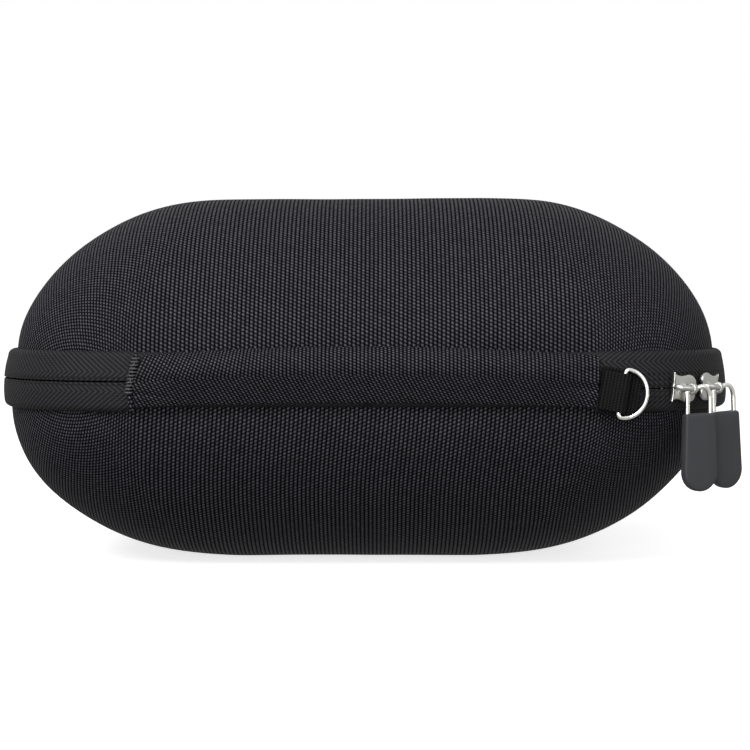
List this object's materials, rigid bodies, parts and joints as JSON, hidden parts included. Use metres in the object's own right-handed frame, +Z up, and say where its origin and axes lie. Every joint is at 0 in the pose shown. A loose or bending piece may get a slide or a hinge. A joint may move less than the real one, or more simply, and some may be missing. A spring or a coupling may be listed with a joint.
{
  "type": "headphone carrying case",
  "caption": "Moulded clamshell case for over-ear headphones, with a zipped lid, a padded strap handle, a D-ring and rubber zip pulls.",
  "frame": {"origin": "centre of the flat underside, on the surface the closed case rests on", "axes": "+X along the long side, to the right of someone who faces the strap handle; +Y away from the handle, towards the hinge; +Z up through the lid"},
  "size_m": [0.2251, 0.195, 0.115],
  "materials": {
    "outer_fabric": "ballistic nylon weave, slight sheen",
    "shell_foam": "matt moulded EVA foam",
    "lining_fabric": "brushed velour",
    "zip_tape": "herringbone woven tape",
    "zip_coil": "nylon coil",
    "webbing": "ribbed webbing",
    "mesh_net": "open knitted mesh",
    "zinc_metal": "satin nickel plate",
    "soft_rubber": "soft matt rubber"
  },
  "bodies": {
    "base": {"base_skin": "outer_fabric", "base_core": "shell_foam", "base_lining": "lining_fabric", "base_rim_binding": "webbing", "base_zip_tape": "zip_tape", "base_zip_coil": "zip_coil", "base_spine_strip": "outer_fabric", "handle_anchor_left": "outer_fabric", "d_ring_loop": "webbing"},
    "lid": {"lid_skin": "outer_fabric", "lid_core": "shell_foam", "lid_lining": "lining_fabric", "lid_rim_binding": "webbing", "lid_zip_tape": "zip_tape", "lid_zip_coil": "zip_coil", "lid_spine_strip": "outer_fabric", "lid_mesh_pocket": "mesh_net", "lid_pocket_elastic": "webbing"},
    "handle": {"handle_cover": "outer_fabric", "handle_padding": "shell_foam"},
    "ring": {"d_ring": "zinc_metal"},
    "left_slider": {"slider_left": "zinc_metal"},
    "right_slider": {"slider_right": "zinc_metal"},
    "left_pull": {"pull_left_wire": "zinc_metal", "pull_left_tab": "soft_rubber"},
    "right_pull": {"pull_right_wire": "zinc_metal", "pull_right_tab": "soft_rubber"}
  },
  "joints": [
    {"name": "lid_hinge", "type": "hinge", "parent": "base", "child": "lid", "pos_m": [0, 0.0953, 0.0585], "axis": [-1, 0, 0], "range_deg": [0, 180]},
    {"name": "handle_flex", "type": "slide", "parent": "base", "child": "handle", "axis": [0, -1, 0], "range_m": [0, 0.01], "stiffness_N_per_m": 400},
    {"name": "d_ring_swing", "type": "hinge", "parent": "base", "child": "ring", "pos_m": [0.0743, -0.0975, 0.0554], "axis": [-0.1736, 0, -0.9848], "range_deg": [0, 110]},
    {"name": "slider_left_travel", "type": "hinge", "parent": "base", "child": "left_slider", "pos_m": [0.068, -0.051, 0.0564], "axis": [0, 0, 1], "range_deg": [-6, 0]},
    {"name": "slider_right_travel", "type": "hinge", "parent": "base", "child": "right_slider", "pos_m": [0.068, -0.051, 0.0564], "axis": [0, 0, 1], "range_deg": [0, 36]},
    {"name": "pull_left_swing", "type": "hinge", "parent": "left_slider", "child": "left_pull", "pos_m": [0.09482, -0.09002, 0.0564], "axis": [-0.8241, -0.5664, 0], "range_deg": [0, 170]},
    {"name": "pull_right_swing", "type": "hinge", "parent": "right_slider", "child": "right_pull", "pos_m": [0.10401, -0.08175, 0.0564], "axis": [-0.6494, -0.7604, 0], "range_deg": [0, 170]}
  ]
}
